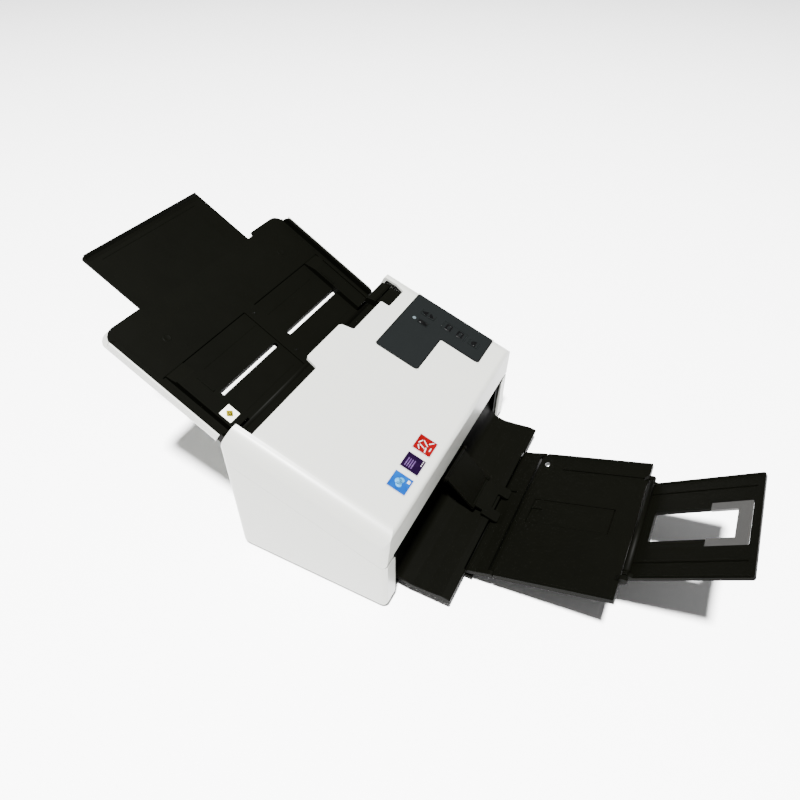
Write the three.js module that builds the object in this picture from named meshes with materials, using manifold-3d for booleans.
// Sheet fed document scanner with its input tray open and both output trays folded out.
// Millimetres, +Z up, X across the machine, the front towards -Y.

import * as THREE from 'three';
import { mergeVertices } from 'three/addons/utils/BufferGeometryUtils.js';
import Module from 'manifold-3d';

const wasm = await Module();
wasm.setup();

// ---- Driving dimensions ------------------------------------------------------------------

const FIT = 0.4; // gap between fixed pieces that meet
const RUN = 0.3; // radial gap of a shaft or pin in its bore

// Machine body, in a frame with the floor at z = 0
const BODY_WIDTH = 316;
const BODY_BACK = 80;
const BODY_FRONT = -95.5;
const HOUSING_BOTTOM = 4.5;
const WALL = 2.6;
const FRONT_CORNER = 9;
const BACK_CORNER = 10;
const PILLAR_WIDTH = 18;
const PILLAR_DEPTH = 2.6;

// Paper path: a plane that falls towards the front, and heights above it, along its normal
const PATH_SLOPE = 20;
const PATH_HEIGHT = 94.75; // height of the path over the middle of the body frame
const SEAM_RISE = 3.76; // seam between housing and cover
const COVER_RISE = 47.9; // top face of the cover
const COVER_EDGE = 19; // rounding along the two sides of the cover
const LIP_BOTTOM = 72.5;
const LIP_LEAN = 2; // how far the top of the front lip leans out

// Places on the cover's top face, along the path direction
const COVER_BACK = 67.5;
const TAB_BACK = 82.9;
const TAB_HALF = 33;
const EAR_INNER = BODY_WIDTH / 2 - 14.5;
const NOTCH_LEFT = BODY_WIDTH / 2 - 59;
const NOTCH_RIGHT = BODY_WIDTH / 2 - 19.5;
const NOTCH_FRONT = 56.3;
const KEY_BOTTOM = 29;

// Cover hinge
const HINGE_Y = -90;
const HINGE_RISE = 5.5; // above the seam
const HINGE_PIN = 2;
const COVER_OPEN = 60; // degrees

// Shafts and rollers: place along the path, and radii
const SHAFT = 3;
const FEED_S = 32;
const FEED_RADIUS = 12;
const FEED_HALF = 21;
const TRANSPORT_S = 4;
const TRANSPORT_RADIUS = 7;
const EXIT_S = -70;
const EXIT_RADIUS = 7;
const SLEEVE_INNER = 48; // rubber sleeves of the transport and exit shafts, from the middle
const SLEEVE_OUTER = 78;
const ROLLER_PROUD = 0.8; // how far a driven roller stands above the path
const PAPER_GAP = 2.2; // between lower and upper guide
const GUIDE_HALF = BODY_WIDTH / 2 - 22;
const GUIDE_PLATE = 2;
const SEPARATION_RADIUS = 10;
const PINCH_RADIUS = 5;

// Frame plates and gears
const FRAME_X = BODY_WIDTH / 2 - 11;
const FRAME_PLATE = 2;
const GEAR_WIDTH = 3;
const GEAR_GAP = 1.2; // between a frame plate and its gears
const FEED_GEAR = 9;
const IDLER_GEAR = 6;
const TRANSPORT_GEAR = 9;
const MESH_GAP = 0.3; // between the tips of neighbouring gears

// Input tray, in a frame on the tray's hinge axis with +Y up the slope
const TRAY_SLOPE = 31.5;
const TRAY_AXIS_Y = 72;
const TRAY_AXIS_Z = 118;
const DECK_TOP = 7.4;
const DECK_PLATE = 2.7;
const DECK_START = 18.6;
const DECK_END = 171;
const DECK_HALF = BODY_WIDTH / 2 - 19;
const DECK_CORNER = 13;
const SIDE_WALL = 4;
const SIDE_RISE = 7.2;
const SIDE_END = 160;
const SHELL_WALL = 2;
const RECESS_END = 103;
const RECESS_DEPTH = 1.4;
const RECESS_HALF = DECK_HALF - 6;
const SPINE_HALF = 8.5;
const SLOT_S = 55;
const SLOT_WIDTH = 5.4;
const SLOT_INNER = 10.5;
const SLOT_OUTER = DECK_HALF - 22;
const GUIDE_INNER = DECK_HALF - 32;
const GUIDE_WIDTH = 23;
const GUIDE_RISE = 4.8;
const GUIDE_START = 14;
const GUIDE_END = 102.6;
const PINION_RADIUS = 6;
const RACK_WIDTH = 4;
const RACK_DEPTH = 2.2;

// Tray extension
const EXT_HALF = 85.2;
const EXT_TOP = -0.2;
const EXT_PLATE = 1.9;
const EXT_START = 112;
const EXT_END = 249;

// Output chute and trays
const CHUTE_HALF = BODY_WIDTH / 2 - 27;
const CHUTE_FRONT = -149.5;
const OUT_Y = -150.2; // where the first output tray begins
const OUT_Z = 16.2;
const OUT_SLOPE = 19.3;
const OUT_HALF = 91;
const OUT_PLATE = 5.4;
const ROOT_LENGTH = 21;
const TRAY1_HINGE = 24.8;
const TRAY1_END = 143.3;
const TRAY2_BEND = 17;
const TRAY2_HALF = 63;
const TRAY2_PLATE = 3.4;
const TRAY2_DROP = 2.8; // top face below its hinge axis
const TRAY2_END = 106.4;
const KNUCKLE = 2.7;
const ROD = 1.4;

// Exit flap
const FLAP_Y = -94.5;
const FLAP_Z = 56.5;
const FLAP_HALF = 24;
const FLAP_PLATE = 2.2;
const FLAP_PIN = 1.4;
const FLAP_LUG = 3;
const FLAP_LENGTH = 43;
const FLAP_SLOPE = 43;
const TIP_LENGTH = 30;
const TIP_SLOPE = 17;
const FLAP_DIP = 3.4; // hollow in the tray root under the flap's tip

// ---- Small helpers -----------------------------------------------------------------------

const rad = THREE.MathUtils.degToRad;
const HALF = BODY_WIDTH / 2;

/** Height of a line parallel to the paper path, `rise` above it along its normal, at depth y. */
function slopeHeight(y, rise) {
  return PATH_HEIGHT + y * Math.tan(rad(PATH_SLOPE)) + rise / Math.cos(rad(PATH_SLOPE));
}

/** Body-frame [y, z] of a point in the path frame. */
function fromPath(s, n) {
  const angle = rad(PATH_SLOPE);
  return [s * Math.cos(angle) - n * Math.sin(angle), PATH_HEIGHT + s * Math.sin(angle) + n * Math.cos(angle)];
}

const HINGE_Z = slopeHeight(HINGE_Y, SEAM_RISE) + HINGE_RISE;

/** A manifold solid from a closed three.js geometry. */
function solid(geometry) {
  geometry.deleteAttribute('normal');
  geometry.deleteAttribute('uv');
  const merged = mergeVertices(geometry, 1e-4);
  const source = merged.index.array;
  const kept = [];
  for (let i = 0; i < source.length; i += 3) {
    const [a, b, c] = [source[i], source[i + 1], source[i + 2]];
    if (a !== b && b !== c && c !== a) kept.push(a, b, c);
  }
  const mesh = new wasm.Mesh({
    numProp: 3,
    vertProperties: new Float32Array(merged.attributes.position.array),
    triVerts: new Uint32Array(kept),
  });
  return new wasm.Manifold(mesh);
}

function join(...parts) {
  return parts.reduce((sum, part) => sum.add(part));
}

function cut(body, ...tools) {
  return tools.reduce((rest, tool) => rest.subtract(tool), body);
}

/** A box between two values on each axis. */
function box(x0, x1, y0, y1, z0, z1) {
  const geometry = new THREE.BoxGeometry(x1 - x0, y1 - y0, z1 - z0);
  geometry.translate((x0 + x1) / 2, (y0 + y1) / 2, (z0 + z1) / 2);
  return solid(geometry);
}

/** Outline through corners [a, b, radius], each corner rounded by an arc. */
function outline(corners, steps = 4) {
  const points = [];
  const count = corners.length;
  for (let i = 0; i < count; i += 1) {
    const here = new THREE.Vector2(corners[i][0], corners[i][1]);
    const radius = corners[i][2] ?? 0;
    if (radius <= 0) {
      points.push(here);
      continue;
    }
    const before = corners[(i + count - 1) % count];
    const after = corners[(i + 1) % count];
    const toBefore = new THREE.Vector2(before[0], before[1]).sub(here);
    const toAfter = new THREE.Vector2(after[0], after[1]).sub(here);
    const room = Math.min(toBefore.length(), toAfter.length()) * 0.48;
    toBefore.normalize();
    toAfter.normalize();
    const half = Math.acos(THREE.MathUtils.clamp(toBefore.dot(toAfter), -1, 1)) / 2;
    const reach = Math.min(radius / Math.tan(half), room);
    const bend = reach * Math.tan(half);
    const middle = toBefore.clone().add(toAfter).normalize().multiplyScalar(bend / Math.sin(half)).add(here);
    const start = here.clone().addScaledVector(toBefore, reach).sub(middle);
    const end = here.clone().addScaledVector(toAfter, reach).sub(middle);
    const from = Math.atan2(start.y, start.x);
    let sweep = Math.atan2(end.y, end.x) - from;
    if (sweep > Math.PI) sweep -= 2 * Math.PI;
    if (sweep < -Math.PI) sweep += 2 * Math.PI;
    for (let k = 0; k <= steps; k += 1) {
      const angle = from + (sweep * k) / steps;
      points.push(new THREE.Vector2(middle.x + bend * Math.cos(angle), middle.y + bend * Math.sin(angle)));
    }
  }
  return new THREE.Shape(points);
}

function extruded(shape, depth) {
  return new THREE.ExtrudeGeometry(shape, { depth, bevelEnabled: false, curveSegments: 8 });
}

/** An outline in Y and Z carried along X. */
function alongX(corners, x0, x1, steps) {
  const geometry = extruded(outline(corners, steps), x1 - x0);
  geometry.applyMatrix4(new THREE.Matrix4().set(0, 0, 1, x0, 1, 0, 0, 0, 0, 1, 0, 0, 0, 0, 0, 1));
  return solid(geometry);
}

/** An outline in X and Z carried along Y. */
function alongY(corners, y0, y1, steps) {
  const geometry = extruded(outline(corners, steps), y1 - y0);
  geometry.applyMatrix4(new THREE.Matrix4().set(1, 0, 0, 0, 0, 0, -1, y1, 0, 1, 0, 0, 0, 0, 0, 1));
  return solid(geometry);
}

/** An outline in X and Y carried along Z. */
function alongZ(corners, z0, z1, steps) {
  const geometry = extruded(outline(corners, steps), z1 - z0);
  geometry.translate(0, 0, z0);
  return solid(geometry);
}

/** Corners of a rectangle with one radius. */
function rectangle(a0, a1, b0, b1, radius = 0) {
  return [[a0, b0, radius], [a1, b0, radius], [a1, b1, radius], [a0, b1, radius]];
}

/** A round bar along X, centred at (y, z). */
function barX(radius, x0, x1, y, z, sides = 24) {
  const geometry = new THREE.CylinderGeometry(radius, radius, x1 - x0, sides);
  geometry.rotateZ(Math.PI / 2);
  geometry.translate((x0 + x1) / 2, y, z);
  return solid(geometry);
}

/** A round bar along Z, centred at (x, y). */
function barZ(radius, z0, z1, x, y, sides = 24) {
  const geometry = new THREE.CylinderGeometry(radius, radius, z1 - z0, sides);
  geometry.rotateX(Math.PI / 2);
  geometry.translate(x, y, (z0 + z1) / 2);
  return solid(geometry);
}

/** A turned piece around X from [x, radius] steps, centred at (y, z). */
function turnedX(steps, y, z, sides = 24) {
  const first = steps[0];
  const last = steps[steps.length - 1];
  const profile = [[first[0], 0], ...steps, [last[0], 0]];
  const points = profile.map(([x, radius]) => new THREE.Vector2(radius, x));
  const geometry = new THREE.LatheGeometry(points, sides);
  geometry.rotateZ(-Math.PI / 2);
  geometry.translate(0, y, z);
  return solid(geometry);
}

/** A toothed wheel around X with a bore; tooth tips reach `radius`. */
function wheelX(radius, bore, x0, x1, y, z, teeth) {
  const points = [];
  const depth = Math.min(0.9, radius * 0.12);
  for (let i = 0; i < teeth; i += 1) {
    for (const [share, reach] of [[0.0, radius - depth], [0.2, radius], [0.45, radius], [0.65, radius - depth]]) {
      const angle = ((i + share) / teeth) * 2 * Math.PI;
      points.push([y + reach * Math.cos(angle), z + reach * Math.sin(angle)]);
    }
  }
  return cut(alongX(points, x0, x1), barX(bore, x0 - 1, x1 + 1, y, z, 20));
}

/** The same piece on the other side of the machine. */
function mirrored(piece) {
  return piece.mirror([1, 0, 0]);
}

/** Turns a solid about X and moves it. */
function tilted(piece, degrees, y, z) {
  return piece.rotate([degrees, 0, 0]).translate([0, y, z]);
}

function inPath(piece) {
  return tilted(piece, PATH_SLOPE, 0, PATH_HEIGHT);
}

// ---- Materials ---------------------------------------------------------------------------

const COLOURS = {
  white: [0xdcdcd6, 0.42, 0],
  black: [0x11110f, 0.55, 0],
  slate: [0x33373a, 0.5, 0],
  dark: [0x1c1c1c, 0.6, 0],
  rubber: [0x191919, 0.85, 0],
  steel: [0xa9abad, 0.35, 1],
  plastic: [0xe8e6df, 0.5, 0],
  glass: [0x202a2c, 0.08, 0],
  board: [0x1f5c38, 0.5, 0],
  grey: [0x8b8d8c, 0.5, 0],
  red: [0xd23a3c, 0.4, 0],
  purple: [0x3d2452, 0.4, 0],
  blue: [0x37a0dc, 0.4, 0],
  label: [0xf2f2ec, 0.45, 0],
  lamp: [0xcfd6d8, 0.3, 0],
};

const scanner = new THREE.Group();

/** A named mesh of one solid, added to a group. */
function add(group, name, piece, finish) {
  const data = piece.getMesh();
  const geometry = new THREE.BufferGeometry();
  geometry.setAttribute('position', new THREE.BufferAttribute(data.vertProperties, 3));
  geometry.setIndex(new THREE.BufferAttribute(data.triVerts, 1));
  geometry.computeVertexNormals();
  const [color, roughness, metalness] = COLOURS[finish];
  const mesh = new THREE.Mesh(geometry, new THREE.MeshStandardMaterial({ color, roughness, metalness }));
  mesh.name = name;
  group.add(mesh);
  return mesh;
}

/** A group turned about X at (y, z) of its parent. */
function frameAt(parent, y, z, degrees) {
  const group = new THREE.Group();
  group.position.set(0, y, z);
  group.rotation.x = rad(degrees);
  parent.add(group);
  return group;
}

// ---- Housing and base --------------------------------------------------------------------

/** Side outline of the housing: its top edge follows the seam and then curves round the hinge. */
function housingOutline() {
  const clear = HINGE_RISE + FIT;
  const corners = [
    [BODY_FRONT, HOUSING_BOTTOM, 5],
    [BODY_BACK, HOUSING_BOTTOM, 5],
    [BODY_BACK, slopeHeight(BODY_BACK, SEAM_RISE) - FIT / 2, 1],
    [HINGE_Y, slopeHeight(HINGE_Y, SEAM_RISE) - FIT],
  ];
  const steps = 3;
  for (let k = 1; k <= steps; k += 1) {
    const angle = -Math.PI / 2 - (rad(90 - COVER_OPEN) * k) / steps;
    corners.push([HINGE_Y + clear * Math.cos(angle), HINGE_Z + clear * Math.sin(angle)]);
  }
  const last = corners[corners.length - 1];
  const swing = Math.tan(rad(90 - COVER_OPEN - 8)); // the front edge stays under the opened lip
  corners.push([BODY_FRONT, last[1] + (last[0] - BODY_FRONT) * swing]);
  return corners;
}

const SHELL_TOP = 260; // above everything, for cutting tools

/** Plan of the body, `inset` inside its outer face: a rectangle with rounded upright corners. */
function bodyPlan(inset, z0, z1) {
  const half = HALF - inset;
  const front = BODY_FRONT - LIP_LEAN + inset;
  const corners = [
    [-half, front, FRONT_CORNER - inset],
    [half, front, FRONT_CORNER - inset],
    [half, BODY_BACK - inset, BACK_CORNER - inset],
    [-half, BODY_BACK - inset, BACK_CORNER - inset],
  ];
  return alongZ(corners, z0, z1, 5);
}

function lowerHousing() {
  const block = alongX(housingOutline(), -HALF, HALF).intersect(bodyPlan(0, 0, SHELL_TOP));
  const inside = HALF - WALL;
  const openFront = box(-inside, inside, BODY_FRONT - 20, 0, -10, SHELL_TOP);
  const hollow = bodyPlan(WALL, -10, SHELL_TOP).add(openFront);
  const pillarInner = HALF - PILLAR_WIDTH;
  const pillars = [-1, 1].map((side) => {
    const near = Math.min(side * pillarInner, side * HALF);
    const far = Math.max(side * pillarInner, side * HALF);
    return block.intersect(box(near, far, BODY_FRONT - 5, BODY_FRONT + PILLAR_DEPTH, -10, SHELL_TOP));
  });
  const shell = join(cut(block, hollow), ...pillars);
  const lipRoom = barX(HINGE_RISE + 3.2, -pillarInner - 3.4, pillarInner + 3.4, HINGE_Y, HINGE_Z, 32);
  const armNotch = box(ARM_INNER - 2, ARM_OUTER + 2, BODY_BACK - 10, BODY_BACK + 10, ARM_NOTCH_Z, SHELL_TOP);
  const inlet = box(POWER_X - 5.4, POWER_X + 5.4, BODY_BACK - 10, BODY_BACK + 10, PORT_Z - 5.9, PORT_Z + 5.9);
  const port = box(USB_X - 6.4, USB_X + 6.4, BODY_BACK - 10, BODY_BACK + 10, PORT_Z - 5.9, PORT_Z + 5.9);
  return cut(shell, lipRoom, armNotch, mirrored(armNotch), inlet, port);
}

function basePlate() {
  const flange = alongZ(rectangle(-HALF + 5, HALF - 5, BODY_FRONT + 7, BODY_BACK - 5, 8), 2.7, HOUSING_BOTTOM - 0.4);
  const inner = HALF - WALL - FIT;
  const corners = rectangle(-inner, inner, BODY_FRONT + PILLAR_DEPTH + 1, BODY_BACK - WALL - FIT, BACK_CORNER - WALL);
  const floor = alongZ(corners, 4, 6.4);
  return join(flange, floor);
}

function foot(x, y) {
  const geometry = new THREE.LatheGeometry(
    [[0, 0], [7, 0], [8, 0.8], [8, 2.4], [0, 2.4]].map(([r, z]) => new THREE.Vector2(r, z)),
    20,
  );
  geometry.rotateX(Math.PI / 2);
  geometry.translate(x, y, 0);
  return solid(geometry);
}

// ---- Cover -------------------------------------------------------------------------------

/** Side outline of the cover, `inset` inside its outer face. */
function coverOutline(inset) {
  const top = (y) => slopeHeight(y, COVER_RISE - inset);
  const seam = (y) => slopeHeight(y, SEAM_RISE - (inset > 0 ? 30 : 0));
  const front = BODY_FRONT + inset;
  const lean = front - LIP_LEAN;
  const backTop = BODY_BACK - 16 - inset;
  const back = BODY_BACK - inset;
  const corners = [
    [back, seam(back), 0],
    [back, slopeHeight(back, SEAM_RISE) + 10, 5],
    [backTop, top(backTop), 3],
    [lean, top(lean), 7],
    [front, LIP_BOTTOM, 0],
  ];
  if (inset > 0) {
    corners.push([front, seam(front), 0]);
    return corners;
  }
  const steps = 5;
  for (let k = 0; k <= steps; k += 1) {
    const angle = Math.PI + ((Math.PI / 2) * k) / steps;
    corners.push([HINGE_Y + HINGE_RISE * Math.cos(angle), HINGE_Z + HINGE_RISE * Math.sin(angle)]);
  }
  return corners;
}

/** A long bar along the path whose upper two edges are rounded, for trimming the cover. */
function coverSection(half, top, radius) {
  const corners = [[-half, -80, 0], [half, -80, 0], [half, top, radius], [-half, top, radius]];
  return inPath(alongY(corners, -220, 220, 7));
}

/** Plan of what the cover leaves open at the back, in the path frame. */
function backOpening() {
  const far = 160;
  const corners = [
    [-EAR_INNER, far, 0],
    [-EAR_INNER, COVER_BACK, 0],
    [-TAB_HALF - 4, COVER_BACK, 3],
    [-TAB_HALF, TAB_BACK, 5],
    [TAB_HALF, TAB_BACK, 5],
    [TAB_HALF + 4, COVER_BACK, 3],
    [NOTCH_LEFT, COVER_BACK, 2],
    [NOTCH_LEFT, NOTCH_FRONT, 2],
    [NOTCH_RIGHT - 4, NOTCH_FRONT, 2],
    [NOTCH_RIGHT, COVER_BACK, 2],
    [NOTCH_RIGHT, far, 0],
  ];
  return inPath(alongZ(corners, -70, 120));
}

// The L-shaped control panel on the cover, in the path frame
const PANEL_RIGHT = BODY_WIDTH / 2 - 11.5;
const PANEL_LEFT = PANEL_RIGHT - 110;
const PANEL_STEP = PANEL_RIGHT - 49;
const PANEL_BACK = 40.3;
const PANEL_MIDDLE = -14.5;
const PANEL_FRONT = -64.3;
const PANEL_PLATE = 1.6;
const PANEL_PROUD = 0.3;
const BUTTON_TRAVEL = 0.7;

// name, x, s, half width, half length
const BUTTONS = [
  ['button_up', PANEL_RIGHT - 24.5, 19.7, 4.2, 3.6],
  ['button_down', PANEL_RIGHT - 24.5, 9.6, 4.2, 3.6],
  ['button_function', PANEL_RIGHT - 41, 13.9, 3.4, 6],
  ['button_scan', PANEL_RIGHT - 24.5, -47.7, 5, 6],
];
const DISPLAY = { x: PANEL_RIGHT - 24.2, s: -20.9, halfX: 7.2, halfS: 15.2 };
const LAMP = { x: PANEL_RIGHT - 40.8, s: 25.6, radius: 2.2 };
const STICKER = 20.8;
const STICKER_S = -66.3;
const STICKER_X = { label_red: -44.5, label_purple: -71.2, label_blue: -97.9 };

function panelCorners(inset) {
  return [
    [PANEL_LEFT + inset, PANEL_BACK - inset, 3],
    [PANEL_LEFT + inset, PANEL_MIDDLE + inset, 3],
    [PANEL_STEP + inset, PANEL_MIDDLE + inset, 2],
    [PANEL_STEP + inset, PANEL_FRONT + inset, 3],
    [PANEL_RIGHT - inset, PANEL_FRONT + inset, 3],
    [PANEL_RIGHT - inset, PANEL_BACK - inset, 3],
  ];
}

function upperCover() {
  const block = alongX(coverOutline(0), -HALF, HALF)
    .intersect(coverSection(HALF, COVER_RISE, COVER_EDGE))
    .intersect(bodyPlan(0, 0, SHELL_TOP));
  const hollow = alongX(coverOutline(WALL), -HALF + WALL, HALF - WALL)
    .intersect(coverSection(HALF - WALL, COVER_RISE - WALL, COVER_EDGE - WALL))
    .intersect(bodyPlan(WALL, -10, SHELL_TOP));
  const lipCut = box(-HALF + PILLAR_WIDTH - 3, HALF - PILLAR_WIDTH + 3, BODY_FRONT - 20, BODY_FRONT + 12, 0, LIP_BOTTOM);
  const openBack = inPath(box(-HALF + WALL, HALF - WALL, 75, 130, -90, 30));
  const pocket = inPath(alongZ(panelCorners(0), COVER_RISE - 1.1, COVER_RISE + 5));
  const seats = BUTTONS.map(([, x, s, halfX, halfS]) => (
    inPath(box(x - halfX - 1, x + halfX + 1, s - halfS - 1, s + halfS + 1, COVER_RISE - 5, COVER_RISE + 5))
  ));
  const bosses = [-1, 1].map((side) => {
    const near = FRAME_X + FRAME_PLATE + FIT + 0.2;
    const far = HALF - WALL + 0.4;
    return barX(HINGE_RISE, Math.min(side * near, side * far), Math.max(side * near, side * far), HINGE_Y, HINGE_Z);
  });
  const bore = barX(HINGE_PIN + RUN, -HALF + WALL - 0.2, HALF - WALL + 0.2, HINGE_Y, HINGE_Z);
  const shell = cut(block, hollow, lipCut, openBack, backOpening(), pocket, ...seats);
  return cut(join(shell, ...bosses), bore);
}

function controlPanel() {
  const low = COVER_RISE - 1.1 + 0.3;
  const high = COVER_RISE + PANEL_PROUD;
  const plate = alongZ(panelCorners(FIT), low, high);
  const holes = BUTTONS.map(([, x, s, halfX, halfS]) => (
    box(x - halfX - 0.3, x + halfX + 0.3, s - halfS - 0.3, s + halfS + 0.3, low - 1, high + 1)
  ));
  const { x, s, halfX, halfS } = DISPLAY;
  const window = box(x - halfX - 0.3, x + halfX + 0.3, s - halfS - 0.3, s + halfS + 0.3, low - 1, high + 1);
  const lampHole = barZ(LAMP.radius + 0.3, low - 1, high + 1, LAMP.x, LAMP.s, 16);
  return cut(plate, ...holes, window, lampHole);
}

function button(x, s, halfX, halfS) {
  return alongZ(rectangle(x - halfX, x + halfX, s - halfS, s + halfS, 1), COVER_RISE - 2.6, COVER_RISE + PANEL_PROUD + 0.3);
}

/** Guide inside the cover: paper plate, front strip and the black wall over the paper mouth. */
function upperGuide() {
  const low = PAPER_GAP;
  const high = PAPER_GAP + GUIDE_PLATE;
  const front = -97;
  const wallS = COVER_BACK - 6;
  const corners = [
    [front, low, 1],
    [wallS - 14, low, 6],
    [wallS + 2, low + 17, 4],
    [wallS + 2, COVER_RISE - WALL - FIT, 0],
    [wallS, COVER_RISE - WALL - FIT, 0],
    [wallS, low + 18, 4],
    [wallS - 15, high, 5],
    [front + GUIDE_PLATE, high, 0.5],
    [front + GUIDE_PLATE, 9.4, 0],
    [front, 9.4, 0],
  ];
  const plate = alongX(corners, -GUIDE_HALF, GUIDE_HALF);
  const windows = [
    box(-FEED_HALF - 2, FEED_HALF + 2, FEED_S - 9, FEED_S + 9, low - 1, high + 1),
    rollerWindow(TRANSPORT_S, 7, low - 1, high + 1),
    rollerWindow(EXIT_S, 7, low - 1, high + 1),
    box(-SENSOR_HALF + 6, SENSOR_HALF - 6, UPPER_SENSOR_S - GLASS_HALF - 0.3, UPPER_SENSOR_S + GLASS_HALF + 0.3, low - 1, high + 1),
  ];
  const keyRoom = box(NOTCH_LEFT - 1, GUIDE_HALF + 1, NOTCH_FRONT - 1, COVER_BACK + 5, KEY_BOTTOM - 1.5, COVER_RISE + 5);
  return cut(plate, keyRoom, ...windows);
}

/** Two windows, one for each rubber sleeve of a shaft. */
function rollerWindow(s, half, n0, n1) {
  const right = box(SLEEVE_INNER - 2, SLEEVE_OUTER + 2, s - half, s + half, n0, n1);
  return join(right, mirrored(right));
}

// ---- Paper path in the housing -----------------------------------------------------------

const SENSOR_HALF = GUIDE_HALF - 18;
const LOWER_SENSOR_S = -20;
const UPPER_SENSOR_S = -43;
const GLASS_HALF = 5.5;
const THROAT_Y = 47;
const THROAT_END = 80;

function lowerGuide() {
  const throat = slopeHeight(THROAT_Y, 0);
  const rise = Math.tan(rad(TRAY_SLOPE));
  const end = throat + (THROAT_END - THROAT_Y) * rise;
  const drop = GUIDE_PLATE / Math.cos(rad(PATH_SLOPE));
  const front = -91.5;
  const corners = [
    [front, slopeHeight(front, 0), 0.6],
    [THROAT_Y, throat, 0],
    [THROAT_END, end, 0.6],
    [THROAT_END, end - drop, 0],
    [THROAT_Y + 0.5, throat - drop, 0],
    [front, slopeHeight(front, 0) - drop, 0.6],
  ];
  const plate = alongX(corners, -GUIDE_HALF, GUIDE_HALF);
  const tabs = [-60, -30, 20, 44].map((s) => box(GUIDE_HALF - 1, FRAME_X - FIT, s - 5, s + 5, -GUIDE_PLATE, -0.2));
  const wings = tabs.flatMap((tab) => [inPath(tab), inPath(mirrored(tab))]);
  // Half of the feed roller's chord at the underside of the plate, to a tenth of a millimetre, and its clearance
  const chord = Math.round(10 * Math.sqrt(FEED_RADIUS ** 2 - (FEED_RADIUS - ROLLER_PROUD - GUIDE_PLATE) ** 2)) / 10 + RUN;
  const windows = [
    box(-FEED_HALF - 2, FEED_HALF + 2, FEED_S - chord, FEED_S + chord, -4, 2),
    rollerWindow(TRANSPORT_S, 7, -4, 2),
    rollerWindow(EXIT_S, 7, -4, 2),
    box(-SENSOR_HALF + 6, SENSOR_HALF - 6, LOWER_SENSOR_S - GLASS_HALF - 0.3, LOWER_SENSOR_S + GLASS_HALF + 0.3, -4, 2),
    box(-50, -44, 44, 60, -10, 30),
  ];
  const lug = alongX([
    [FLAP_Y - 3, FLAP_Z - 3, 2.6],
    [FLAP_Y + 5, FLAP_Z - 3, 2],
    [FLAP_Y + 12, FLAP_Z + 5, 0],
    [FLAP_Y + 4, FLAP_Z + 3.6, 0],
    [FLAP_Y - 3, FLAP_Z + 3, 2.6],
  ], FLAP_HALF + FIT, FLAP_HALF + FIT + FLAP_LUG);
  const lugs = [lug, mirrored(lug)];
  const bore = barX(FLAP_PIN + RUN, -FLAP_HALF - 6, FLAP_HALF + 6, FLAP_Y, FLAP_Z, 16);
  return cut(join(plate, ...wings, ...lugs), bore, ...windows.map(inPath));
}

/** Image sensor bar whose glass rib stands in a window of its guide; `side` -1 is below the paper. */
function sensorBar(s, side) {
  const face = side < 0 ? -0.1 : PAPER_GAP + 0.1;
  const near = side < 0 ? -GUIDE_PLATE - FIT : PAPER_GAP + GUIDE_PLATE + FIT;
  const far = near + side * 13;
  const bar = box(-SENSOR_HALF, SENSOR_HALF, s - 9, s + 9, Math.min(near, far), Math.max(near, far));
  const ribHalf = SENSOR_HALF - 6.4;
  const rib = box(-ribHalf, ribHalf, s - GLASS_HALF, s + GLASS_HALF, Math.min(face, near + side), Math.max(face, near + side));
  return join(bar, rib);
}

/** Centre of a driven shaft under the path, in the path frame. */
function drivenN(radius) {
  return ROLLER_PROUD - radius;
}

const FEED_AXIS = fromPath(FEED_S, drivenN(FEED_RADIUS));
const TRANSPORT_AXIS = fromPath(TRANSPORT_S, drivenN(TRANSPORT_RADIUS));
const EXIT_AXIS = fromPath(EXIT_S, drivenN(EXIT_RADIUS));

// The idlers divide the way between the driven gears evenly
const FEED_IDLERS = 1;
const EXIT_IDLERS = 3;

function between(from, to, fromRadius, toRadius, count) {
  const span = Math.hypot(to[0] - from[0], to[1] - from[1]);
  const radius = (span - fromRadius - toRadius - (count + 1) * MESH_GAP) / (2 * count);
  const places = [];
  for (let i = 0; i < count; i += 1) {
    const along = (fromRadius + MESH_GAP + radius + i * (2 * radius + MESH_GAP)) / span;
    places.push({
      y: from[0] + (to[0] - from[0]) * along,
      z: from[1] + (to[1] - from[1]) * along,
      radius,
    });
  }
  return places;
}

const IDLERS = [
  ...between(FEED_AXIS, TRANSPORT_AXIS, FEED_GEAR, TRANSPORT_GEAR, FEED_IDLERS),
  ...between(TRANSPORT_AXIS, EXIT_AXIS, TRANSPORT_GEAR, TRANSPORT_GEAR, EXIT_IDLERS),
];
const MOTOR_Y = -22;
const MOTOR_Z = 36;
const MOTOR_PULLEY = 5.5;
const SHAFT_PULLEY = 10;
const BELT = 1.2;

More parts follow.
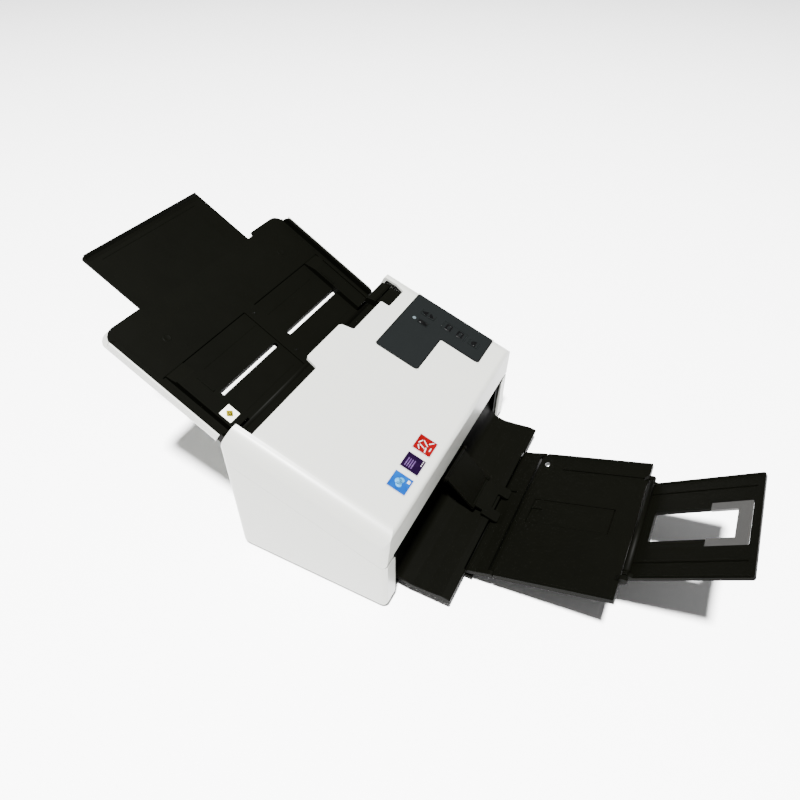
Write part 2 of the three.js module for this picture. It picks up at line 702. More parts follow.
/** Steel side plate: carries the shafts, the cover hinge and the tray hinge. */
function sidePlate() {
  const low = 7;
  const under = (y) => slopeHeight(y, -GUIDE_PLATE - 1.5);
  const corners = [
    [-84, low, 4],
    [66, low, 4],
    [66, under(60) - 2, 0],
    [60, under(60), 0],
    [-84, under(-84), 2],
  ];
  const x0 = FRAME_X;
  const x1 = FRAME_X + FRAME_PLATE;
  const eye = HINGE_PIN + 0.5;
  const hingeArm = [
    [HINGE_Y + 0.4, HINGE_Z - eye, 0],
    [HINGE_Y + HINGE_RISE - 0.3, HINGE_Z - 4, 0],
    [HINGE_Y + HINGE_RISE + 1, HINGE_Z - 9, 0],
    [HINGE_Y + 14, HINGE_Z - 18, 0],
    [HINGE_Y + 14, HINGE_Z - 5, 2],
    [HINGE_Y + 8, HINGE_Z + eye, 2],
    [HINGE_Y, HINGE_Z + eye, 0],
  ];
  const trayArm = [
    [TRAY_AXIS_Y + 4.4, TRAY_AXIS_Z + 4.8, 4],
    [TRAY_AXIS_Y - 5, TRAY_AXIS_Z + 4.8, 4],
    [TRAY_AXIS_Y - 16, TRAY_AXIS_Z - 14, 0],
    [TRAY_AXIS_Y - 16, TRAY_AXIS_Z - 30, 0],
    [TRAY_AXIS_Y + 4.4, TRAY_AXIS_Z - 30, 2],
  ];
  const plate = join(
    alongX(corners, x0, x1),
    alongX(hingeArm, x0, x1),
    barX(eye, x0, x1, HINGE_Y, HINGE_Z),
    alongX(trayArm, x0, x1),
  );
  const bores = [FEED_AXIS, TRANSPORT_AXIS, EXIT_AXIS].map(([y, z]) => barX(SHAFT + RUN, x0 - 1, x1 + 1, y, z));
  const trayBore = barX(TRAY_PIN + RUN, x0 - 1, x1 + 1, TRAY_AXIS_Y, TRAY_AXIS_Z);
  const hingeStub = barX(HINGE_PIN, x0, HALF - WALL - 0.4, HINGE_Y, HINGE_Z, 20);
  return join(cut(plate, ...bores, trayBore), hingeStub);
}

/** The side plate with the stub axles that the idler gears turn on. */
function gearSidePlate() {
  const x0 = FRAME_X + FRAME_PLATE / 2;
  const x1 = FRAME_X + FRAME_PLATE + GEAR_GAP + GEAR_WIDTH;
  const stubs = IDLERS.map(({ y, z }) => barX(1.6, x0, x1, y, z, 16));
  return join(sidePlate(), ...stubs);
}

/** The side plate with the hole for the motor's shaft. */
function motorSidePlate() {
  return cut(sidePlate(), barX(SHAFT, FRAME_X - 2, FRAME_X + FRAME_PLATE + 2, MOTOR_Y, MOTOR_Z));
}

/** A steel shaft with rubber moulded round it, from [x, radius] steps of the right half. */
function shaftRoller(half, steps, axis) {
  const left = steps.map(([x, radius]) => [-x, radius]).reverse();
  return turnedX([[-half, SHAFT], ...left, ...steps, [half, SHAFT]], axis[0], axis[1]);
}

function feedRoller(half) {
  return shaftRoller(half, [[FEED_HALF, FEED_RADIUS], [FEED_HALF, SHAFT]], FEED_AXIS);
}

/** Two rubber sleeves on one shaft. */
function sleeveRoller(half, radius, axis) {
  const steps = [
    [SLEEVE_INNER, SHAFT], [SLEEVE_INNER, radius], [SLEEVE_OUTER, radius], [SLEEVE_OUTER, SHAFT],
  ];
  return shaftRoller(half, steps, axis);
}

/** A pinch roller held in the cover, turned in one piece. */
function pinchRoller(s) {
  const axis = fromPath(s, ROLLER_PROUD + 0.4 + PINCH_RADIUS);
  const steps = [
    [-SLEEVE_OUTER - 8, 1.8], [-SLEEVE_OUTER, 1.8], [-SLEEVE_OUTER, PINCH_RADIUS], [-SLEEVE_INNER, PINCH_RADIUS],
    [-SLEEVE_INNER, 1.8], [SLEEVE_INNER, 1.8], [SLEEVE_INNER, PINCH_RADIUS], [SLEEVE_OUTER, PINCH_RADIUS],
    [SLEEVE_OUTER, 1.8], [SLEEVE_OUTER + 8, 1.8],
  ];
  return turnedX(steps, axis[0], axis[1], 20);
}

/** Retard roller over the feed roller, with its stub shaft. */
function separationRoller() {
  const [y, z] = fromPath(FEED_S, ROLLER_PROUD + 0.4 + SEPARATION_RADIUS);
  const half = FEED_HALF - 3;
  const steps = [
    [-half - 14, SHAFT], [-half, SHAFT], [-half, SEPARATION_RADIUS], [half, SEPARATION_RADIUS],
    [half, SHAFT], [half + 14, SHAFT],
  ];
  return turnedX(steps, y, z);
}

/** Belt round the motor pulley and the shaft pulley, the straight runs touching neither. */
function beltOutline(grow) {
  const [y1, z1] = TRANSPORT_AXIS;
  const span = Math.hypot(MOTOR_Y - y1, MOTOR_Z - z1);
  const base = Math.atan2(MOTOR_Z - z1, MOTOR_Y - y1);
  const big = SHAFT_PULLEY + grow;
  const small = MOTOR_PULLEY + grow;
  const lean = Math.acos((big - small) / span);
  const points = [];
  const steps = 12;
  for (let k = 0; k <= steps; k += 1) {
    const angle = base + lean + ((2 * Math.PI - 2 * lean) * k) / steps;
    points.push([y1 + big * Math.cos(angle), z1 + big * Math.sin(angle)]);
  }
  for (let k = 0; k <= steps; k += 1) {
    const angle = base - lean + (2 * lean * k) / steps;
    points.push([MOTOR_Y + small * Math.cos(angle), MOTOR_Z + small * Math.sin(angle)]);
  }
  return points;
}

function driveBelt(x0, x1) {
  return cut(alongX(beltOutline(0.4 + BELT), x0 + 0.3, x1 - 0.3), alongX(beltOutline(0.4), x0 - 1, x1 + 1));
}

function driveMotor() {
  const can = barX(15, 108, FRAME_X - 4, MOTOR_Y, MOTOR_Z, 32);
  const plate = box(FRAME_X - 4.5, FRAME_X - FIT, MOTOR_Y - 18, MOTOR_Y + 18, MOTOR_Z - 18, MOTOR_Z + 18);
  const nose = barX(SHAFT - 0.6, FRAME_X - 2, FRAME_X + FRAME_PLATE + 0.6, MOTOR_Y, MOTOR_Z, 16);
  return join(can, plate, nose);
}

const POWER_X = -70;
const USB_X = -38;
const PORT_Z = 26;

function mainBoard() {
  const board = box(-120, 60, 30, 70, 12, 13.6);
  const chips = [[-100, 40, 16], [-60, 45, 20], [-10, 40, 14], [25, 50, 12]];
  const packages = chips.map(([x, y, size]) => box(x, x + size, y, y + size, 13, 16));
  const posts = [[-114, 36], [54, 36], [-114, 64], [54, 64]].map(([x, y]) => barZ(3, 6.8, 12.5, x, y, 12));
  return join(board, ...packages, ...posts);
}

/** A connector body behind the back wall with an open mouth in it. */
function connector(x, halfX, halfZ, mouth) {
  const back = BODY_BACK - 0.4;
  return cut(box(x - halfX, x + halfX, back - 12, back, PORT_Z - halfZ, PORT_Z + halfZ), mouth(back));
}

function powerInlet() {
  return connector(POWER_X, 5, 5.5, (back) => {
    const ring = new THREE.CylinderGeometry(3.4, 3.4, 10, 20);
    ring.translate(POWER_X, back - 4, PORT_Z);
    const pin = new THREE.CylinderGeometry(1, 1, 12, 12);
    pin.translate(POWER_X, back - 5.5, PORT_Z);
    return solid(ring).subtract(solid(pin));
  });
}

function usbPort() {
  return connector(USB_X, 6, 5.5, (back) => {
    const mouth = box(USB_X - 4.2, USB_X + 4.2, back - 8, back + 1, PORT_Z - 3.9, PORT_Z + 3.9);
    return mouth.subtract(box(USB_X - 2.8, USB_X + 2.8, back - 9, back - 1, PORT_Z - 1.5, PORT_Z + 1.5));
  });
}

// ---- Input tray --------------------------------------------------------------------------

const ARM_INNER = DECK_HALF;
const ARM_OUTER = DECK_HALF + SIDE_WALL;
const ARM_NOTCH_Z = 104;
const TRAY_PIN = 2;

function slotHole() {
  const half = SLOT_WIDTH / 2;
  const right = alongZ(rectangle(SLOT_INNER, SLOT_OUTER, SLOT_S - half, SLOT_S + half, 2), DECK_TOP - 10, DECK_TOP + 5);
  return join(right, mirrored(right));
}

/** Black tray deck: plate with a recess, two guide slots, side walls and two hinge arms. */
function trayDeck() {
  const low = DECK_TOP - DECK_PLATE;
  const plan = [
    [-DECK_HALF - 1, DECK_START, 0],
    [DECK_HALF + 1, DECK_START, 0],
    [DECK_HALF + 1, DECK_END, DECK_CORNER],
    [EXT_HALF + 3.4, DECK_END, 1],
    [EXT_HALF + 3.4, DECK_END - 4.5, 1],
    [-EXT_HALF - 3.4, DECK_END - 4.5, 1],
    [-EXT_HALF - 3.4, DECK_END, 1],
    [-DECK_HALF - 1, DECK_END, DECK_CORNER],
  ];
  const plate = alongZ(plan, low, DECK_TOP);
  const wall = alongX([
    [DECK_START, low, 0],
    [SIDE_END, low, 0],
    [SIDE_END, DECK_TOP + 2, 0],
    [SIDE_END - 5, DECK_TOP + SIDE_RISE, 2],
    [DECK_START + 6, DECK_TOP + SIDE_RISE, 3],
    [DECK_START, DECK_TOP + 2, 0],
  ], DECK_HALF, DECK_HALF + SIDE_WALL);
  const arm = alongX([
    [-4.6, -4.6, 4],
    [5, -4.6, 3],
    [DECK_START + 12, low + 0.2, 0],
    [DECK_START + 12, DECK_TOP, 0],
    [DECK_START, DECK_TOP, 0],
    [DECK_START - 4, low, 2],
    [-4.6, 4.6, 4],
  ], ARM_INNER, ARM_OUTER);
  const stub = barX(TRAY_PIN, ARM_OUTER - 1, FRAME_X + FRAME_PLATE + 0.4, 0, 0, 20);
  const recess = box(SPINE_HALF, RECESS_HALF, DECK_START - 5, RECESS_END, DECK_TOP - RECESS_DEPTH, DECK_TOP + 9);
  const side = join(wall, arm, stub);
  const body = join(plate, side, mirrored(side));
  const stud = barZ(2, low - 3.4, low + 0.5, 0, SLOT_S, 16);
  return join(cut(body, recess, mirrored(recess), slotHole()), stud);
}

/** White shell under the deck: two side skirts and a belly that holds the extension. */
function trayShell() {
  const start = DECK_START + 8;
  const outer = DECK_HALF + SIDE_WALL + FIT + SHELL_WALL;
  const inner = DECK_HALF + SIDE_WALL + FIT;
  const deckLow = DECK_TOP - DECK_PLATE;
  const floor = deckLow - RACK_DEPTH - 2 * FIT;
  const belly = EXT_TOP - EXT_PLATE - 0.4;
  const half = EXT_HALF + 1;
  const rim = DECK_TOP + SIDE_RISE - 0.8;
  const section = [
    [-outer, floor - 0.6, 3], [-half - 8, floor - SHELL_WALL, 2], [-half - 2, belly - SHELL_WALL, 2],
    [half + 2, belly - SHELL_WALL, 2], [half + 8, floor - SHELL_WALL, 2], [outer, floor - 0.6, 3],
    [outer, rim, 0.8], [inner, rim, 0.8], [inner, floor, 0.5],
    [half + 6, floor, 1], [half, belly, 1], [-half, belly, 1], [-half - 6, floor, 1], [-inner, floor, 0.5],
    [-inner, rim, 0.8], [-outer, rim, 0.8],
  ];
  const shell = alongY(section, start, DECK_END + 1, 3);
  const plan = [
    [-outer - 1, start - 1, 0], [outer + 1, start - 1, 0],
    [outer, DECK_END + 1, DECK_CORNER + 2], [-outer, DECK_END + 1, DECK_CORNER + 2],
  ];
  const trimmed = shell.intersect(alongZ(plan, -40, 60, 6));
  const endTrim = box(-outer - 5, outer + 5, SIDE_END - 2, DECK_END + 5, deckLow - FIT, 60);
  const armRoom = box(ARM_INNER - 0.6, ARM_OUTER + 0.6, start - 5, DECK_START + 16, -30, deckLow + 1);
  return cut(trimmed, endTrim, armRoom, mirrored(armRoom));
}

function trayExtension() {
  const low = EXT_TOP - EXT_PLATE;
  const plate = alongZ([
    [-EXT_HALF, EXT_START, 2], [EXT_HALF, EXT_START, 2], [EXT_HALF, EXT_END, 3], [-EXT_HALF, EXT_END, 3],
  ], low, EXT_TOP);
  const lip = alongX([
    [EXT_END - 9, low + 0.5, 0], [EXT_END - 0.5, low, 1.5], [EXT_END, EXT_TOP + 3.5, 0.7],
    [EXT_END - 1.8, EXT_TOP + 3.5, 0.7], [EXT_END - 4, EXT_TOP + 0.8, 1], [EXT_END - 9, EXT_TOP - 0.2, 0],
  ], -EXT_HALF + 3, EXT_HALF - 3);
  return join(plate, lip);
}

/** Right paper guide with its stem through the slot and its rack below the deck. */
function paperGuide() {
  const bottom = DECK_TOP - RECESS_DEPTH + 0.3;
  const top = DECK_TOP + GUIDE_RISE;
  const outer = GUIDE_INNER + GUIDE_WIDTH;
  const blockBody = alongX([
    [GUIDE_START + 6, bottom, 0], [GUIDE_END, bottom, 0], [GUIDE_END, DECK_TOP + 1, 1],
    [GUIDE_END - 14, top, 8], [GUIDE_START + 6, top, 0],
  ], GUIDE_INNER, outer);
  const rim = box(outer - 3, outer, GUIDE_START + 6, GUIDE_END - 12, top - 0.5, top + 1.6);
  const rib = box(GUIDE_INNER + 2, GUIDE_INNER + 5, SLOT_S + 6, SLOT_S + 26, top - 0.5, top + 0.7);
  return join(blockBody, rim, rib, guideStem());
}

/** Stem and toothed rack; the rack runs past the pinion on the upper side of the slot. */
function guideStem() {
  const bottom = DECK_TOP - RECESS_DEPTH + 0.4;
  const rackTop = DECK_TOP - DECK_PLATE - 0.4;
  const rackLow = rackTop - RACK_DEPTH;
  const half = SLOT_WIDTH / 2 - 0.4;
  const stem = box(GUIDE_INNER + 1, GUIDE_INNER + 8, SLOT_S - half, SLOT_S + half, rackLow, bottom + 0.5);
  const near = SLOT_S + PINION_RADIUS + MESH_GAP;
  const link = box(GUIDE_INNER + 1, GUIDE_INNER + 8, SLOT_S - half, near + RACK_WIDTH, rackLow, rackTop);
  const end = -14;
  const points = [[GUIDE_INNER + 2, near + 1], [GUIDE_INNER + 2, near + RACK_WIDTH], [end, near + RACK_WIDTH]];
  const pitch = 4;
  const teeth = Math.floor((GUIDE_INNER - end) / pitch);
  for (let i = 0; i < teeth; i += 1) {
    const x = end + i * pitch;
    points.push([x, near + 0.9], [x + 0.8, near], [x + 1.8, near], [x + 2.6, near + 0.9]);
  }
  return join(stem, link, alongZ(points, rackLow, rackTop));
}

/** The other guide: the same piece turned half a turn about the pinion, with its own block. */
function leftGuide() {
  const stem = guideStem().translate([0, -SLOT_S, 0]).rotate([0, 0, 180]).translate([0, SLOT_S, 0]);
  const bottom = DECK_TOP - RECESS_DEPTH + 0.3;
  const top = DECK_TOP + GUIDE_RISE;
  const outer = GUIDE_INNER + GUIDE_WIDTH;
  const blockBody = alongX([
    [GUIDE_START + 6, bottom, 0], [GUIDE_END, bottom, 0], [GUIDE_END, DECK_TOP + 1, 1],
    [GUIDE_END - 14, top, 8], [GUIDE_START + 6, top, 0],
  ], -outer, -GUIDE_INNER);
  const rim = box(-outer, -outer + 3, GUIDE_START + 6, GUIDE_END - 12, top - 0.5, top + 1.6);
  const rib = box(-GUIDE_INNER - 5, -GUIDE_INNER - 2, SLOT_S + 6, SLOT_S + 26, top - 0.5, top + 0.7);
  return join(blockBody, rim, rib, stem);
}

function guidePinion() {
  const top = DECK_TOP - DECK_PLATE - 0.4;
  const points = [];
  const teeth = 10;
  for (let i = 0; i < teeth; i += 1) {
    for (const [share, reach] of [[0, PINION_RADIUS - 0.9], [0.2, PINION_RADIUS], [0.45, PINION_RADIUS], [0.65, PINION_RADIUS - 0.9]]) {
      const angle = ((i + share) / teeth) * 2 * Math.PI;
      points.push([reach * Math.cos(angle), SLOT_S + reach * Math.sin(angle)]);
    }
  }
  return cut(alongZ(points, top - RACK_DEPTH, top), barZ(2.3, top - 5, top + 5, 0, SLOT_S, 16));
}

// ---- Output chute and trays --------------------------------------------------------------

function outputChute() {
  const corners = [
    [CHUTE_FRONT, OUT_Z + 0.6, 1.5], [-141, OUT_Z + 1.8, 6], [-124, OUT_Z, 12], [-108, OUT_Z - 0.8, 12],
    [-96, OUT_Z + 2.4, 8], [-89, OUT_Z + 11, 10], [-85, OUT_Z + 24, 4], [-84, OUT_Z + 36, 1],
    [-81.6, OUT_Z + 36, 1], [-82.4, OUT_Z + 23, 4], [-86, OUT_Z + 9, 8], [-94, OUT_Z - 2.4, 8],
    [-107, OUT_Z - 5.6, 10], [CHUTE_FRONT, OUT_Z - 5, 3],
  ];
  const plate = alongX(corners, -CHUTE_HALF, CHUTE_HALF);
  const room = box(-OUT_HALF - 0.6, OUT_HALF + 0.6, CHUTE_FRONT - 5, OUT_Y + 2.6, 0, OUT_Z + 20);
  const outer = HALF - PILLAR_WIDTH - FIT;
  const cheek = alongX([
    [-92, 7, 1], [-66, 7, 1], [-66, 48, 3], [-80, 60, 2], [-92, 60, 3],
  ], CHUTE_HALF - 0.3, outer);
  return join(cut(plate, room), cheek, mirrored(cheek));
}

/** Fixed root of the output trays, in the output frame with -Y outwards. */
function trayRoot() {
  const corners = [
    [-0.2, -0.4, 0.8], [-8, -0.8, 10], [-ROOT_LENGTH, 0, 0], [-ROOT_LENGTH, -OUT_PLATE, 0], [-2, -OUT_PLATE, 1.5],
    [2.6, -4.8, 0.5], [2.6, -2.6, 0.5], [1, -2.2, 0],
  ];
  const dip = box(-FLAP_HALF - 1.5, FLAP_HALF + 1.5, -12, 4, -FLAP_DIP, 2);
  const plate = cut(alongX(corners, -OUT_HALF, OUT_HALF), dip);
  const lug = alongX([
    [-ROOT_LENGTH + 4, -0.8, 0], [-ROOT_LENGTH + 4, -OUT_PLATE, 0], [-TRAY1_HINGE - KNUCKLE, -OUT_PLATE, 2.6],
    [-TRAY1_HINGE - KNUCKLE, 0, 2.6], [-TRAY1_HINGE + KNUCKLE, 0, 0],
  ], OUT_HALF - 5, OUT_HALF);
  const bore = barX(ROD + RUN, OUT_HALF - 12, OUT_HALF - 1.4, -TRAY1_HINGE, -KNUCKLE, 16);
  const side = cut(lug, bore);
  return join(plate, side, mirrored(side));
}

const STOPPER1_HALF = 16.6;
const STOPPER1_INNER = 36;
const STOPPER1_AXIS = 118.5;

function outputTray1() {
  const low = -OUT_PLATE;
  const plate = alongX([
    [-TRAY1_HINGE + KNUCKLE - 0.2, -KNUCKLE, 0], [-TRAY1_HINGE + 1.8, -0.7, 1.5], [-TRAY1_HINGE - 3, 0, 1],
    [-TRAY1_END, 0, 1], [-TRAY1_END, low, 1], [-TRAY1_HINGE + 1.8, low, 2],
  ], -OUT_HALF + 5.4, OUT_HALF - 5.4);
  const edges = box(-OUT_HALF, OUT_HALF, -TRAY1_END + 0.01, -TRAY1_HINGE - KNUCKLE - 0.8, low, 0);
  const hingeBore = barX(ROD + RUN, -OUT_HALF - 1, OUT_HALF + 1, -TRAY1_HINGE, -KNUCKLE, 16);
  const frontAxis = -TRAY2_AXIS_U;
  const lug = alongX([
    [-TRAY1_END + 4, low, 0], [-TRAY1_END + 4, 0, 0], [frontAxis + 3.2, TRAY2_AXIS_N + 2.4, 2],
    [frontAxis - 3, TRAY2_AXIS_N + 2.4, 3], [frontAxis - 3, TRAY2_AXIS_N - 3, 3], [-TRAY1_END, low, 0],
  ], TRAY2_HALF + 1, TRAY2_HALF + 6);
  const stub = barX(EXT_PIN, TRAY2_HALF - 4, TRAY2_HALF + 2, frontAxis, TRAY2_AXIS_N, 16);
  const side = join(lug, stub);
  const pocket = box(-STOPPER1_HALF - 0.5, STOPPER1_HALF + 0.5, -STOPPER1_AXIS - 2.6, -STOPPER1_INNER, -3.2, 2);
  const groove = box(65, 67.4, -TRAY1_END - 1, -52, -1.2, 2);
  const body = join(plate, edges);
  return join(cut(body, hingeBore, pocket, groove), side, mirrored(side));
}

/** Flip-up stopper in the first tray; it turns on two stub pins at its outer end. */
function stopper1() {
  const low = -2.9;
  const plate = box(-STOPPER1_HALF, STOPPER1_HALF, -STOPPER1_AXIS + 0.4, -STOPPER1_INNER - 0.5, low + 0.4, -0.3);
  const barrel = barX(1.3, -STOPPER1_HALF, STOPPER1_HALF, -STOPPER1_AXIS, -1.6, 16);
  const finger = box(-4, 4, -STOPPER1_INNER - 12, -STOPPER1_INNER + 1, -1.5, 1);
  return cut(join(plate, barrel), finger);
}

const EXT_PIN = 1.4;
const TRAY2_AXIS_U = TRAY1_END + 4;
const TRAY2_AXIS_N = 0.4;
const WINDOW_NARROW = 19;
const WINDOW_WIDE = 27.4;
const WINDOW_START = 11;
const WINDOW_STEP = 62.5;
const WINDOW_END = 99.2;

function outputTray2() {
  const top = -TRAY2_DROP;
  const low = top - TRAY2_PLATE;
  const plate = alongZ([
    [-TRAY2_HALF, -TRAY2_END, 2.5], [TRAY2_HALF, -TRAY2_END, 2.5], [TRAY2_HALF, 1.6, 0], [-TRAY2_HALF, 1.6, 0],
  ], low, top);
  const ear = alongX([
    [-6, top - 0.5, 0], [1.6, top - 0.5, 0], [2.8, 0, 0], [2.6, 2.6, 2.6], [-2.6, 2.6, 2.6], [-2.8, 0, 0],
  ], TRAY2_HALF - 4.5, TRAY2_HALF);
  const bore = barX(EXT_PIN + RUN, TRAY2_HALF - 6, TRAY2_HALF + 1, 0, 0, 16);
  const side = cut(ear, bore);
  const window = alongZ([
    [-WINDOW_NARROW, -WINDOW_START, 1], [-WINDOW_NARROW, -WINDOW_STEP, 0], [-WINDOW_WIDE, -WINDOW_STEP, 1],
    [-WINDOW_WIDE, -WINDOW_END, 1], [WINDOW_WIDE, -WINDOW_END, 1], [WINDOW_WIDE, -WINDOW_STEP, 1],
    [WINDOW_NARROW, -WINDOW_STEP, 0], [WINDOW_NARROW, -WINDOW_START, 1],
  ], low - 1, top + 1);
  const groove = box(44, 46, -TRAY2_END + 6, 3, top - 0.8, top + 1);
  return cut(join(plate, side, mirrored(side)), window, groove, mirrored(groove));
}

/** Grey U-shaped stopper that flips up out of the second tray's window. */
function stopper2() {
  const top = -TRAY2_DROP - 0.3;
  const low = top - 2.4;
  const half = WINDOW_WIDE - 0.5;
  const plate = box(-half, half, -WINDOW_END + 2.2, -WINDOW_STEP - 0.5, low, top);
  const opening = box(-WINDOW_NARROW + 1.4, WINDOW_NARROW - 1.4, -WINDOW_END + 12.5, -WINDOW_STEP + 5, low - 1, top + 1);
  const barrel = barX(1.2, -half, half, -WINDOW_END + 1.9, low + 1.2, 16);
  return join(cut(plate, opening), barrel);
}

/** Ramp under the exit slot, from its hinge towards -Y, and the finger plate at its end. */
function exitFlap() {
  const plate = box(-FLAP_HALF, FLAP_HALF, -FLAP_LENGTH, 0, -FLAP_PLATE / 2, FLAP_PLATE / 2);
  const barrel = join(
    barX(2.4, -FLAP_HALF, FLAP_HALF, 0, 0, 20),
    barX(FLAP_PIN, -FLAP_HALF - FLAP_LUG - 0.6, FLAP_HALF + FLAP_LUG + 0.6, 0, 0, 16),
  );
  const ears = [-1, 1].map((side) => {
    const x0 = Math.min(side * (FLAP_HALF - 4), side * FLAP_HALF);
    const ear = alongX([
      [-FLAP_LENGTH + 6, -1, 0], [-FLAP_LENGTH + 6, 1.1, 0], [-FLAP_LENGTH - 4.6, 2.2, 2], [-FLAP_LENGTH - 4.6, -2.2, 2],
    ], x0, x0 + 4);
    return cut(ear, barX(1.3, x0 - 1, x0 + 5, -FLAP_LENGTH - 2.2, 0, 12));
  });
  return join(plate, barrel, ...ears);
}

function flapTip() {
  const half = FLAP_HALF - 4.6;
  const plan = [
    [-half, -TIP_LENGTH * 0.35, 0], [-FLAP_HALF, -TIP_LENGTH * 0.35, 1], [-FLAP_HALF, -TIP_LENGTH, 2],
    [-FLAP_HALF + 13, -TIP_LENGTH, 2], [-FLAP_HALF + 13, -TIP_LENGTH * 0.6, 2], [FLAP_HALF - 13, -TIP_LENGTH * 0.6, 2],
    [FLAP_HALF - 13, -TIP_LENGTH, 2], [FLAP_HALF, -TIP_LENGTH, 2], [FLAP_HALF, -TIP_LENGTH * 0.35, 1],
    [half, -TIP_LENGTH * 0.35, 0], [half, 0, 0], [-half, 0, 0],
  ];
  const plate = alongZ(plan, -FLAP_PLATE / 2, FLAP_PLATE / 2);
  const barrel = barX(1.6, -half, half, 0, 0, 16);
  const pins = barX(0.9, -FLAP_HALF + 0.5, FLAP_HALF - 0.5, 0, 0, 12);
  return join(plate, barrel, pins);
}

// ---- Cover release -----------------------------------------------------------------------

/** Black key in the cover's notch, with the latch leg that reaches down beside the guide. */
function releaseKey() {
  const front = NOTCH_FRONT + 0.8;
  const back = COVER_BACK + 6;
  const top = COVER_RISE - 3;
  const left = NOTCH_LEFT + 0.8;
  const right = NOTCH_RIGHT - 5.4;
  const key = alongX([
    [front, top, 1.5], [front, KEY_BOTTOM, 0], [back - 8, KEY_BOTTOM, 0], [back, top - 6, 2], [back - 2, top - 1, 2],
  ], left, right);
  const legNear = GUIDE_HALF + 1.4;
  const bridge = box(right - 1, legNear + 2.4, front, front + 4, KEY_BOTTOM, KEY_BOTTOM + 6);
  const leg = alongX([
    [front, KEY_BOTTOM + 6, 0], [front + 4, KEY_BOTTOM + 6, 0], [front + 4, 1, 1], [front, -1.5, 1],
  ], legNear, legNear + 2.4);
  return join(key, bridge, leg);
}

// ---- Assembly ----------------------------------------------------------------------------

function buildBody() {
  add(scanner, 'base_plate', basePlate(), 'dark');
  for (const [side, x] of [['left', -HALF + 26], ['right', HALF - 26]]) {
    add(scanner, `foot_front_${side}`, foot(x, BODY_FRONT + 26), 'rubber');
    add(scanner, `foot_rear_${side}`, foot(x, BODY_BACK - 22), 'rubber');
  }
  add(scanner, 'lower_housing', lowerHousing(), 'white');
  add(scanner, 'side_frame_left', mirrored(gearSidePlate()), 'steel');
  add(scanner, 'side_frame_right', motorSidePlate(), 'steel');
  add(scanner, 'lower_paper_guide', lowerGuide(), 'black');
  add(scanner, 'output_chute', outputChute(), 'black');
  add(scanner, 'drive_motor', driveMotor(), 'steel');
  add(scanner, 'main_board', mainBoard(), 'board');
  add(scanner, 'power_inlet', powerInlet(), 'dark');
  add(scanner, 'usb_port', usbPort(), 'steel');
}

function buildDrive() {
  const gearX0 = -(FRAME_X + FRAME_PLATE + GEAR_GAP + GEAR_WIDTH);
  const gearX1 = -(FRAME_X + FRAME_PLATE + GEAR_GAP);
  const pulleyX0 = -gearX1;
  const pulleyX1 = -gearX0;
  const bore = SHAFT + RUN;
  const shaftHalf = pulleyX1 + 0.6;
  const driven = [
    ['feed', FEED_AXIS, FEED_GEAR, 14],
    ['transport', TRANSPORT_AXIS, TRANSPORT_GEAR, 14],
    ['exit', EXIT_AXIS, TRANSPORT_GEAR, 14],
  ];
  for (const [name, axis, radius, teeth] of driven) {
    add(scanner, `${name}_gear`, wheelX(radius, bore, gearX0, gearX1, axis[0], axis[1], teeth), 'plastic');
  }
  add(scanner, 'feed_roller', feedRoller(shaftHalf), 'rubber');
  add(scanner, 'transport_roller', sleeveRoller(shaftHalf, TRANSPORT_RADIUS, TRANSPORT_AXIS), 'rubber');
  add(scanner, 'exit_roller', sleeveRoller(shaftHalf, EXIT_RADIUS, EXIT_AXIS), 'rubber');
  IDLERS.forEach(({ y, z, radius }, i) => {
    add(scanner, `idler_gear_${i + 1}`, wheelX(radius, 1.9, gearX0, gearX1, y, z, 12), 'plastic');
  });
  const [ty, tz] = TRANSPORT_AXIS;
  add(scanner, 'transport_pulley', wheelX(SHAFT_PULLEY, bore, pulleyX0, pulleyX1, ty, tz, 16), 'plastic');
  add(scanner, 'motor_pulley', wheelX(MOTOR_PULLEY, SHAFT - 0.3, pulleyX0, pulleyX1, MOTOR_Y, MOTOR_Z, 10), 'plastic');
  add(scanner, 'drive_belt', driveBelt(pulleyX0, pulleyX1), 'rubber');
}

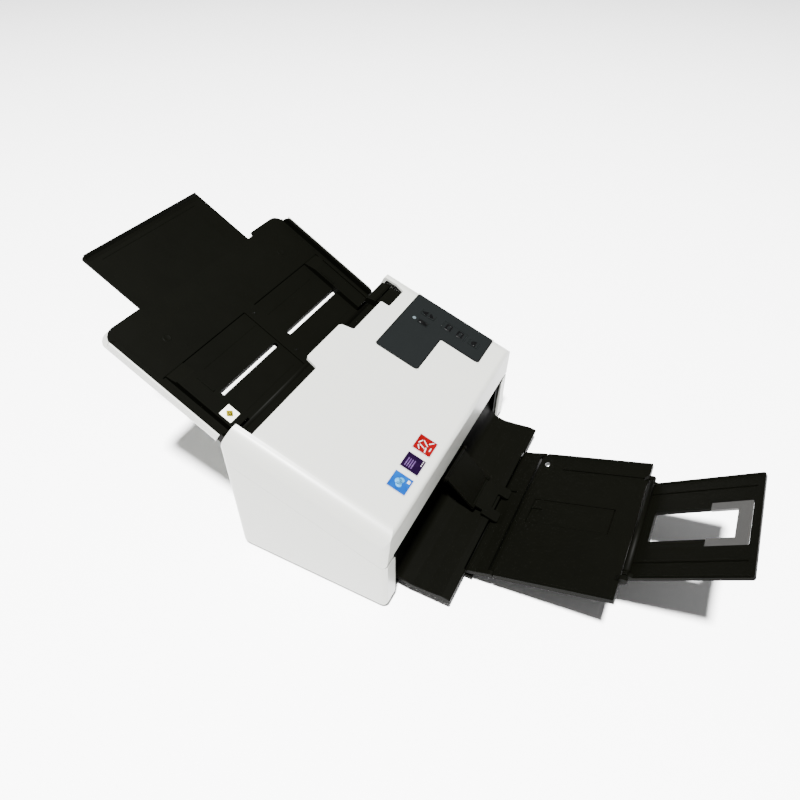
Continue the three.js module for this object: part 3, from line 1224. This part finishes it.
function buildCover() {
  add(scanner, 'upper_cover', upperCover(), 'white');
  const path = frameAt(scanner, 0, PATH_HEIGHT, PATH_SLOPE);
  add(path, 'upper_paper_guide', upperGuide(), 'black');
  add(path, 'control_panel', controlPanel(), 'slate');
  for (const [name, x, s, halfX, halfS] of BUTTONS) {
    add(path, name, button(x, s, halfX, halfS), 'slate');
  }
  const { x, s, halfX, halfS } = DISPLAY;
  const panelLow = COVER_RISE - 0.8;
  add(path, 'display_window', box(x - halfX, x + halfX, s - halfS, s + halfS, panelLow, COVER_RISE + 0.2), 'glass');
  add(path, 'status_lamp', barZ(LAMP.radius, panelLow, COVER_RISE + 0.4, LAMP.x, LAMP.s, 16), 'lamp');
  for (const [name, centre] of Object.entries(STICKER_X)) {
    const finish = name.replace('label_', '');
    const half = STICKER / 2;
    const corners = rectangle(centre - half, centre + half, STICKER_S - half, STICKER_S + half, 0.6);
    add(path, name, alongZ(corners, COVER_RISE + 0.05, COVER_RISE + 0.35, 2), finish);
  }
  add(path, 'upper_sensor', sensorBar(UPPER_SENSOR_S, 1), 'dark');
  add(path, 'lower_sensor', sensorBar(LOWER_SENSOR_S, -1), 'dark');
  add(path, 'cover_release', releaseKey(), 'black');
  add(scanner, 'separation_roller', separationRoller(), 'rubber');
  add(scanner, 'upper_pinch_roller', pinchRoller(TRANSPORT_S), 'dark');
  add(scanner, 'exit_pinch_roller', pinchRoller(EXIT_S), 'dark');
}

function buildInputTray() {
  const tray = frameAt(scanner, TRAY_AXIS_Y, TRAY_AXIS_Z, TRAY_SLOPE);
  add(tray, 'tray_deck', trayDeck(), 'black');
  add(tray, 'tray_shell', trayShell(), 'white');
  add(tray, 'tray_extension', trayExtension(), 'black');
  add(tray, 'paper_guide_right', paperGuide(), 'black');
  add(tray, 'paper_guide_left', leftGuide(), 'black');
  add(tray, 'guide_pinion', guidePinion(), 'plastic');
  const stickerZ = DECK_TOP + GUIDE_RISE;
  const sticker = rectangle(-GUIDE_INNER - GUIDE_WIDTH + 4, -GUIDE_INNER - 4.4, 27.5, 42, 0.6);
  add(tray, 'guide_label', alongZ(sticker, stickerZ + 0.05, stickerZ + 0.35, 2), 'label');
}

function buildOutput() {
  const output = frameAt(scanner, OUT_Y, OUT_Z, -OUT_SLOPE);
  add(output, 'tray_root', trayRoot(), 'black');
  add(output, 'output_tray_1', outputTray1(), 'black');
  add(output, 'tray_stopper_1', stopper1(), 'black');
  add(output, 'output_hinge_rod', barX(ROD, -OUT_HALF + 1.7, OUT_HALF - 1.7, -TRAY1_HINGE, -KNUCKLE, 16), 'steel');
  const outer = frameAt(output, -TRAY2_AXIS_U, TRAY2_AXIS_N, -TRAY2_BEND);
  add(outer, 'output_tray_2', outputTray2(), 'black');
  add(outer, 'tray_stopper_2', stopper2(), 'grey');
  const flap = frameAt(scanner, FLAP_Y, FLAP_Z, FLAP_SLOPE);
  add(flap, 'exit_flap', exitFlap(), 'black');
  const tip = frameAt(flap, -FLAP_LENGTH - 2.2, 0, TIP_SLOPE - FLAP_SLOPE);
  add(tip, 'flap_tip', flapTip(), 'black');
}

buildBody();
buildDrive();
buildCover();
buildInputTray();
buildOutput();

// The origin is under the middle of the whole object, on the floor
scanner.updateMatrixWorld(true);
const extent = new THREE.Box3().setFromObject(scanner);
scanner.position.set(0, -(extent.min.y + extent.max.y) / 2, -extent.min.z);

export default scanner;
